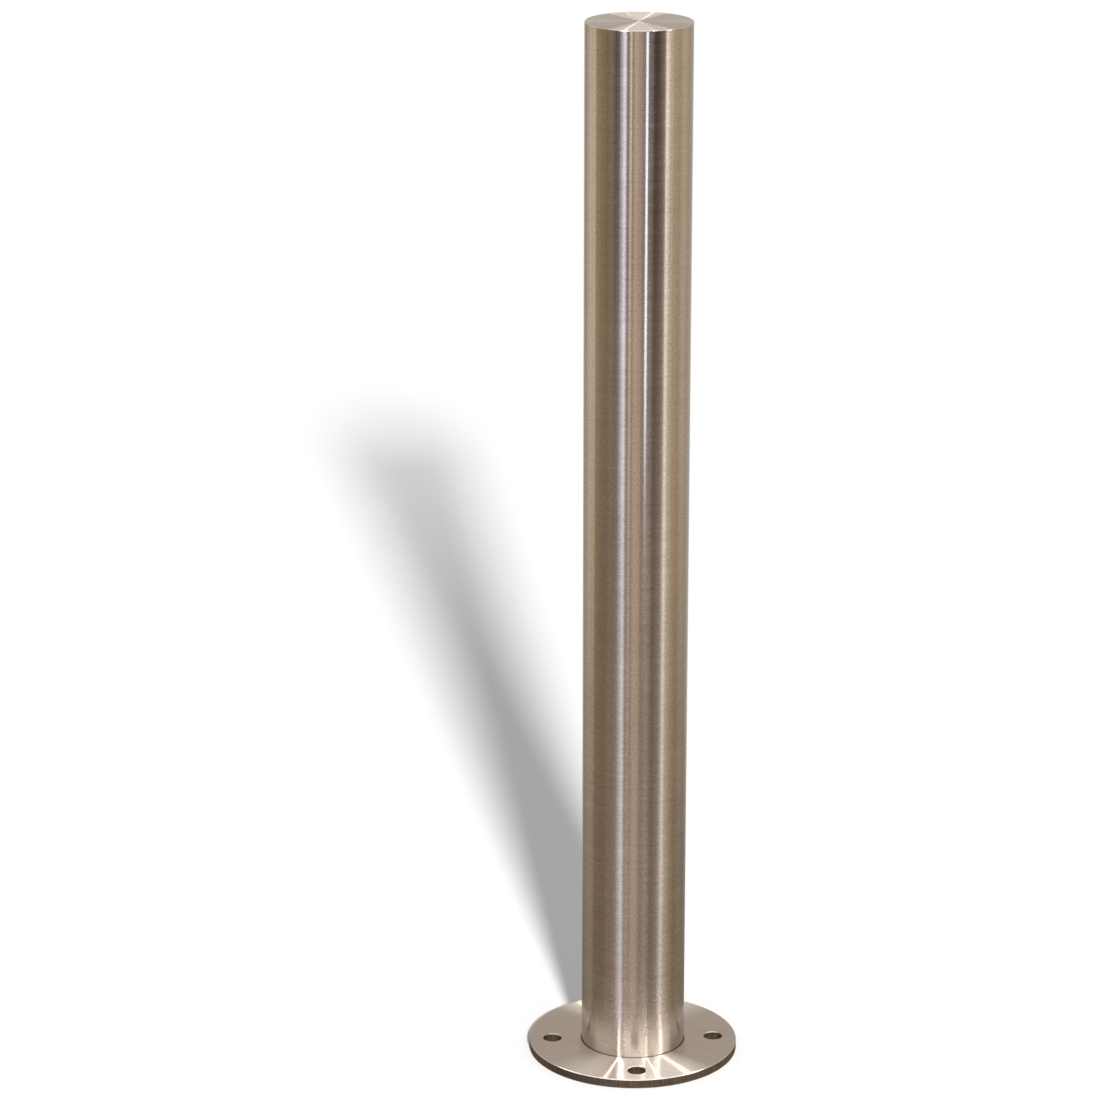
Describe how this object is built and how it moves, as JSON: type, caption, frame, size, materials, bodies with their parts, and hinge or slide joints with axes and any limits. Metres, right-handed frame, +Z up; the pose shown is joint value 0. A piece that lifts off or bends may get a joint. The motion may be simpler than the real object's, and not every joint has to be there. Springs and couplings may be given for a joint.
{
  "type": "safety bollard",
  "caption": "Surface-mounted safety bollard: a brushed stainless steel post with a flat closed top on a round base flange with anchor holes.",
  "frame": {"origin": "middle of the base flange's underside, on the ground and on the post's axis", "axes": "+Z up along the post, +X and +Y each through an anchor hole"},
  "size_m": [0.18, 0.18, 0.9],
  "materials": {
    "tube_steel": "stainless steel brushed round the post, satin",
    "cap_steel": "stainless steel brushed in circles, satin",
    "flange_steel": "stainless steel turned and brushed in circles, with a darker turned rim",
    "weld_steel": "weld metal as laid, rippled and tinted by heat"
  },
  "bodies": {
    "root": {"base_flange": "flange_steel", "post_tube": "tube_steel", "top_cap": "cap_steel", "cap_weld": "tube_steel", "foot_weld": "weld_steel"}
  },
  "joints": []
}
